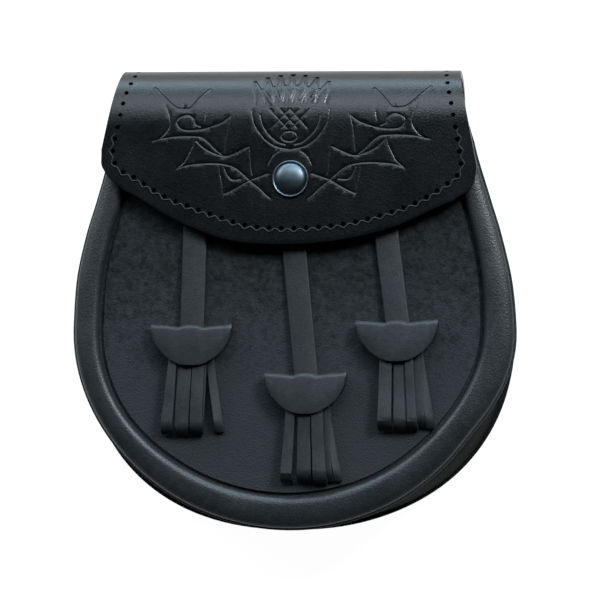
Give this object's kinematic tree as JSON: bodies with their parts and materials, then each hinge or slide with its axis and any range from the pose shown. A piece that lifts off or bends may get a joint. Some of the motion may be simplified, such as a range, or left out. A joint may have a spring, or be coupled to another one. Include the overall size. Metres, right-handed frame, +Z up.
{
  "type": "sporran pouch",
  "caption": "Black leather day sporran with a tooled flap, a snap, three tassels on straps and two belt loops, lying on its back.",
  "frame": {"origin": "middle of the box that the pouch fills, on the surface that its belt loops lie on", "axes": "+Z up out of the pouch's front, +Y from the pouch's bottom to its folded top, +X to the right as the front is seen"},
  "size_m": [0.1896, 0.1976, 0.0472],
  "materials": {
    "panel_leather": "matte, mottled",
    "rim_leather": "satin",
    "side_leather": "matte",
    "flap_leather": "semi-gloss, tooled",
    "strap_leather": "satin",
    "gunmetal": "satin gunmetal"
  },
  "bodies": {
    "root": {"back_panel": "panel_leather", "front_panel": "panel_leather", "front_rim": "rim_leather", "gusset": "side_leather", "flap": "flap_leather", "snap_cap": "gunmetal", "snap_stud": "gunmetal", "belt_loop_left": "side_leather", "belt_loop_right": "side_leather", "tassel_strap_left": "strap_leather", "tassel_cap_left": "strap_leather", "tassel_fringe_left": "strap_leather", "tassel_strap_centre": "strap_leather", "tassel_cap_centre": "strap_leather", "tassel_fringe_centre": "strap_leather", "tassel_strap_right": "strap_leather", "tassel_cap_right": "strap_leather", "tassel_fringe_right": "strap_leather"}
  },
  "joints": []
}
